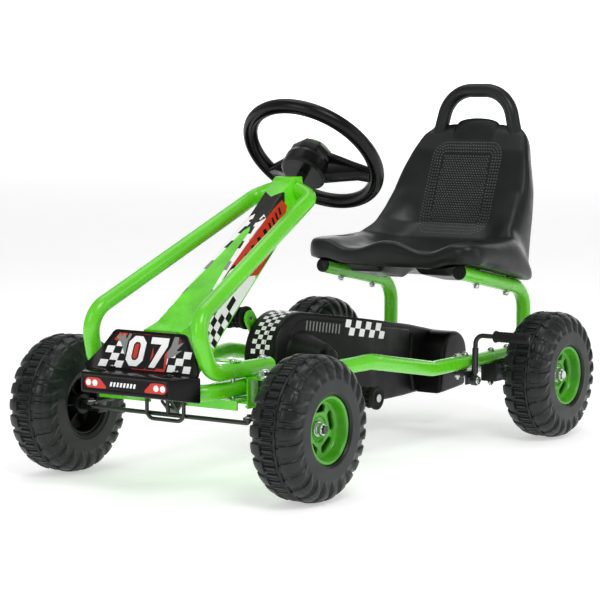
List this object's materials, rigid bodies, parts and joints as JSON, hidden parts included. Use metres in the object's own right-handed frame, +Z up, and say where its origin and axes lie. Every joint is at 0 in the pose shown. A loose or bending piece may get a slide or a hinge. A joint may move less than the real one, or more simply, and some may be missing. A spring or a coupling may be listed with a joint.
{
  "type": "pedal go kart",
  "caption": "Child's four-wheel pedal go kart: bent tube frame, chain drive to the rear axle, steering wheel with tie rod, hand brake and bucket seat.",
  "frame": {"origin": "bottom centre of the kart's box, on the ground", "axes": "-Y is the front of the kart, +X the driver's left, +Z up"},
  "size_m": [0.5524, 1.032, 0.6041],
  "materials": {
    "tyre": "satin black blow-moulded tread",
    "hub_plastic": "bright green moulded",
    "black_plastic": "fine-grained black",
    "frame_paint": "gloss lime green powder coat",
    "green_plastic": "gloss green moulded",
    "wheel_plastic": "satin black",
    "grip_rubber": "matt black",
    "nylon": "natural nylon",
    "black_paint": "satin black paint",
    "zinc_steel": "bright zinc plate"
  },
  "bodies": {
    "chassis": {"main_frame_tube": "frame_paint", "front_axle_beam": "frame_paint", "hoop_tube_left": "frame_paint", "hoop_tube_right": "frame_paint", "column_bracket": "frame_paint", "nylon_bushes": "nylon", "centre_spine": "frame_paint", "rear_crossbar": "black_paint", "seat_tube_left": "frame_paint", "seat_tube_right": "frame_paint", "tube_end_caps": "black_plastic", "axle_bearing_left": "black_plastic", "axle_bearing_right": "black_plastic", "tie_rod_guard": "black_paint", "front_bumper_panel": "black_plastic", "steering_shroud": "green_plastic", "chain_guard_left": "black_plastic", "chain_guard_right": "black_plastic", "drive_chain": "zinc_steel", "brake_bracket": "black_paint", "frame_bolts": "zinc_steel", "frame_nuts": "zinc_steel", "kingpins": "zinc_steel", "panel_screws": "zinc_steel", "seat_bolts": "zinc_steel"},
    "steering": {"steering_column": "black_paint", "steering_wheel": "wheel_plastic", "steering_hub_cap": "green_plastic", "steering_nut": "zinc_steel"},
    "knuckle_left_body": {"knuckle_left": "black_paint", "axle_nut_front_left": "zinc_steel"},
    "knuckle_right_body": {"knuckle_right": "black_paint", "axle_nut_front_right": "zinc_steel"},
    "tie_rod_body": {"tie_rod": "black_paint", "tie_rod_clips": "zinc_steel"},
    "wheel_front_left": {"tyre_front_left": "tyre", "wheel_core_front_left": "black_plastic", "hub_cover_front_left": "hub_plastic"},
    "wheel_front_right": {"tyre_front_right": "tyre", "wheel_core_front_right": "black_plastic", "hub_cover_front_right": "hub_plastic"},
    "wheel_rear_left": {"tyre_rear_left": "tyre", "wheel_core_rear_left": "black_plastic", "hub_cover_rear_left": "hub_plastic"},
    "axle_body": {"rear_axle": "zinc_steel", "rear_axle_fittings": "zinc_steel", "rear_sprocket": "zinc_steel", "tyre_rear_right": "tyre", "wheel_core_rear_right": "black_plastic", "hub_cover_rear_right": "hub_plastic"},
    "crank_body": {"crank_axle": "zinc_steel", "crank_arm_left": "frame_paint", "crank_arm_right": "frame_paint", "chainring": "zinc_steel", "pedal_spindles": "zinc_steel"},
    "pedal_left_body": {"pedal_left": "black_plastic"},
    "pedal_right_body": {"pedal_right": "black_plastic"},
    "brake_body": {"brake_lever": "black_paint", "brake_grip": "grip_rubber"},
    "seat_body": {"seat_shell": "black_plastic"}
  },
  "joints": [
    {"name": "steer", "type": "hinge", "parent": "chassis", "child": "steering", "pos_m": [0, -0.0348, 0.4889], "axis": [0, 0.7071, 0.7071], "range_deg": [-45, 45]},
    {"name": "kingpin_left", "type": "hinge", "parent": "chassis", "child": "knuckle_left_body", "pos_m": [0.148, -0.38, 0.15], "axis": [0, 0, 1], "range_deg": [-22.5, 22.5]},
    {"name": "kingpin_right", "type": "hinge", "parent": "chassis", "child": "knuckle_right_body", "pos_m": [-0.148, -0.38, 0.15], "axis": [0, 0, 1], "range_deg": [-22.5, 22.5]},
    {"name": "tie_rod_pivot", "type": "hinge", "parent": "knuckle_right_body", "child": "tie_rod_body", "pos_m": [-0.148, -0.419, 0.119], "axis": [0, 0, 1], "range_deg": [-22.5, 22.5]},
    {"name": "front_left_spin", "type": "hinge", "parent": "knuckle_left_body", "child": "wheel_front_left", "pos_m": [0.2265, -0.38, 0.108], "axis": [1, 0, 0], "continuous": true},
    {"name": "front_right_spin", "type": "hinge", "parent": "knuckle_right_body", "child": "wheel_front_right", "pos_m": [-0.2265, -0.38, 0.108], "axis": [1, 0, 0], "continuous": true},
    {"name": "axle_spin", "type": "hinge", "parent": "chassis", "child": "axle_body", "pos_m": [0, 0.338, 0.108], "axis": [1, 0, 0], "continuous": true, "deforming": ["drive_chain"]},
    {"name": "rear_left_spin", "type": "hinge", "parent": "axle_body", "child": "wheel_rear_left", "pos_m": [0.236, 0.338, 0.108], "axis": [1, 0, 0], "continuous": true},
    {"name": "crank_spin", "type": "hinge", "parent": "chassis", "child": "crank_body", "pos_m": [0, -0.0643, 0.162], "axis": [1, 0, 0], "continuous": true},
    {"name": "pedal_left_spin", "type": "hinge", "parent": "crank_body", "child": "pedal_left_body", "pos_m": [0.089, -0.01582, 0.09836], "axis": [1, 0, 0], "continuous": true},
    {"name": "pedal_right_spin", "type": "hinge", "parent": "crank_body", "child": "pedal_right_body", "pos_m": [-0.0947, -0.11278, 0.22564], "axis": [1, 0, 0], "continuous": true},
    {"name": "brake_swing", "type": "hinge", "parent": "chassis", "child": "brake_body", "pos_m": [0.1598, 0.216, 0.105], "axis": [-1, 0, 0], "range_deg": [0, 18]},
    {"name": "seat_slide", "type": "slide", "parent": "chassis", "child": "seat_body", "axis": [0, 0.9816, -0.1908], "range_m": [-0.02, 0.03]}
  ],
  "couplings": [
    {"joint": "kingpin_left", "follows": "steer", "ratio": 0.5},
    {"joint": "kingpin_right", "follows": "steer", "ratio": 0.5},
    {"joint": "tie_rod_pivot", "follows": "steer", "ratio": -0.5},
    {"joint": "crank_spin", "follows": "axle_spin", "ratio": 0.6}
  ]
}
